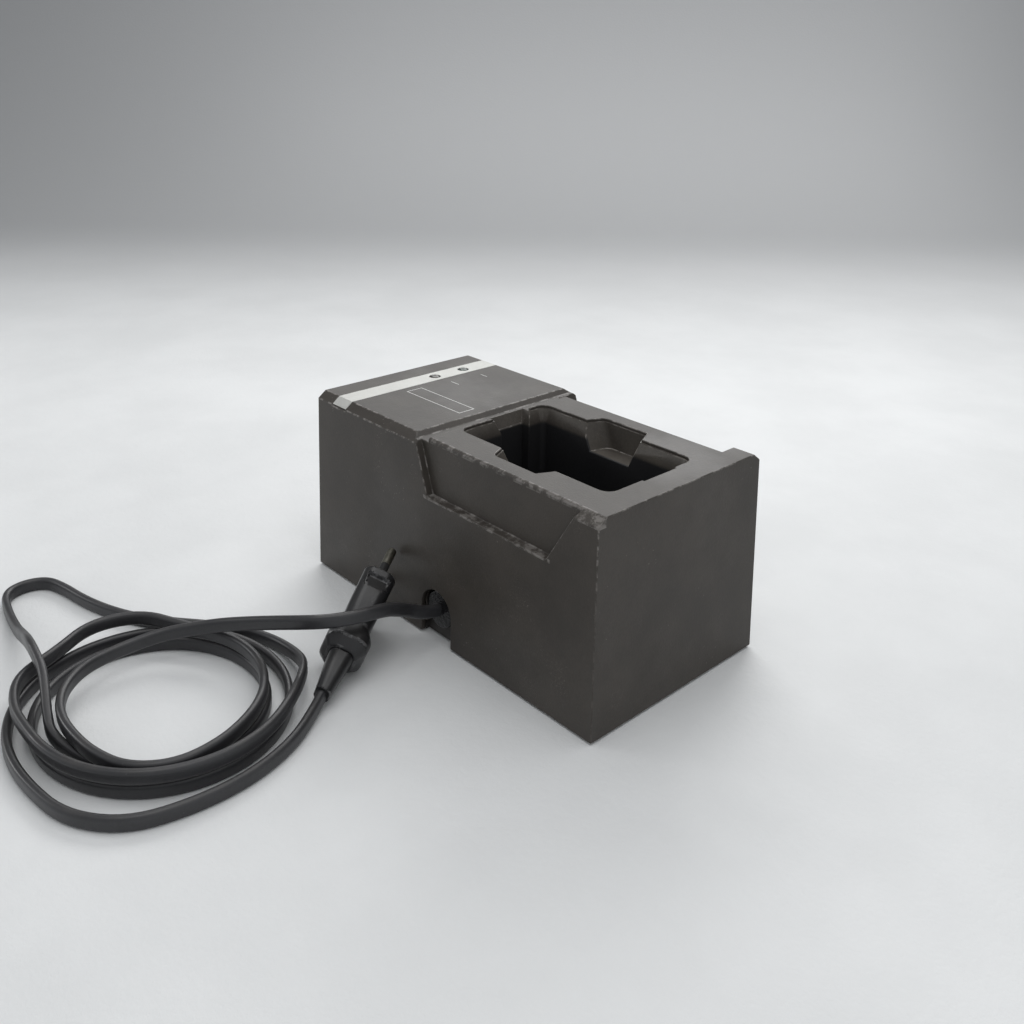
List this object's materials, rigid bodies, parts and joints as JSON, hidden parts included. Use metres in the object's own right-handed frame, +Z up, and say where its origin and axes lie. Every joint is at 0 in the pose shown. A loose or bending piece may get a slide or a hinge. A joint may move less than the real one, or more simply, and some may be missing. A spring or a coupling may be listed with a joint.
{
  "type": "battery charger",
  "caption": "Desktop battery charger with a raised head, a keyed charging pocket, sprung contacts and a coiled flat mains cord with a flat two-pin plug.",
  "frame": {"origin": "centre of the case's footprint, at the table, the feet standing on it", "axes": "+X towards the raised head, +Y towards the face where the cord leaves, +Z up"},
  "size_m": [0.2479, 0.2595, 0.0888],
  "materials": {
    "case_plastic": "satin",
    "pocket_plastic": "satin",
    "base_plastic": "matt",
    "foot_rubber": "matt",
    "silver_strip": "satin",
    "led_amber": "gloss",
    "led_green": "gloss",
    "label_film": "satin",
    "board_green": "satin",
    "core_steel": "laminated",
    "bobbin_plastic": "satin",
    "copper_wire": "enamelled",
    "zinc_screw": "zinc plated",
    "tin_plate": "tinned",
    "chip_black": "matt",
    "capacitor_sleeve": "gloss",
    "resistor_tan": "gloss",
    "fin_aluminium": "satin",
    "fuse_glass": "clear",
    "block_plastic": "satin",
    "contact_brass": "polished",
    "spring_steel": "bright",
    "switch_plastic": "satin",
    "lead_red": "satin",
    "lead_blue": "satin",
    "cord_vinyl": "satin",
    "plug_plastic": "semi gloss",
    "pin_metal": "dull",
    "sleeve_plastic": "satin"
  },
  "bodies": {
    "charger": {"housing": "case_plastic", "pocket_cup": "pocket_plastic", "base_plate": "base_plastic", "rubber_feet": "foot_rubber", "base_screws": "zinc_screw", "cup_screws": "zinc_screw", "rating_label": "label_film", "silver_stripe": "silver_strip", "charge_led": "led_amber", "ready_led": "led_green", "led_board": "board_green", "led_screws": "zinc_screw", "transformer_core": "core_steel", "transformer_bobbin": "bobbin_plastic", "primary_winding": "copper_wire", "secondary_winding": "copper_wire", "transformer_strap": "tin_plate", "transformer_screws": "zinc_screw", "main_board": "board_green", "board_screws": "zinc_screw", "filter_capacitors": "capacitor_sleeve", "bridge_rectifier": "chip_black", "controller_chip": "chip_black", "resistors": "resistor_tan", "heatsink": "fin_aluminium", "regulator": "chip_black", "regulator_screw": "zinc_screw", "fuse": "fuse_glass", "fuse_clips": "tin_plate", "cord_grommet": "plug_plastic", "cord_tail": "cord_vinyl", "cord_clamp": "block_plastic", "clamp_screws": "zinc_screw", "mains_leads": "lead_blue", "secondary_leads": "lead_red", "led_leads": "lead_red", "contact_block": "block_plastic", "contact_cover": "block_plastic", "contact_spring_plus": "spring_steel", "contact_spring_sense": "spring_steel", "contact_spring_minus": "spring_steel", "contact_tags": "tin_plate", "contact_leads": "lead_red", "detect_switch": "switch_plastic", "plug_boot": "plug_plastic", "plug_body": "plug_plastic", "plug_pins": "pin_metal", "plug_sleeves": "sleeve_plastic", "cord_coil_upper": "cord_vinyl", "cord_coil_lower": "cord_vinyl", "cord_lead": "cord_vinyl", "cord_lobe": "cord_vinyl", "cord_plug_end": "cord_vinyl"},
    "contact_plus": {"contact_pin_plus": "contact_brass"},
    "contact_sense": {"contact_pin_sense": "contact_brass"},
    "contact_minus": {"contact_pin_minus": "contact_brass"},
    "detect": {"detect_plunger": "block_plastic", "switch_button": "block_plastic"}
  },
  "joints": [
    {"name": "contact_plus_travel", "type": "slide", "parent": "charger", "child": "contact_plus", "axis": [0, 0, -1], "range_m": [0, 0.002], "stiffness_N_per_m": 150, "springref_m": -0.003, "deforming": ["contact_spring_plus"]},
    {"name": "contact_sense_travel", "type": "slide", "parent": "charger", "child": "contact_sense", "axis": [0, 0, -1], "range_m": [0, 0.002], "stiffness_N_per_m": 150, "springref_m": -0.003, "deforming": ["contact_spring_sense"]},
    {"name": "contact_minus_travel", "type": "slide", "parent": "charger", "child": "contact_minus", "axis": [0, 0, -1], "range_m": [0, 0.002], "stiffness_N_per_m": 150, "springref_m": -0.003, "deforming": ["contact_spring_minus"]},
    {"name": "detect_travel", "type": "slide", "parent": "charger", "child": "detect", "axis": [0, 0, -1], "range_m": [0, 0.0015], "stiffness_N_per_m": 150, "springref_m": -0.003}
  ]
}
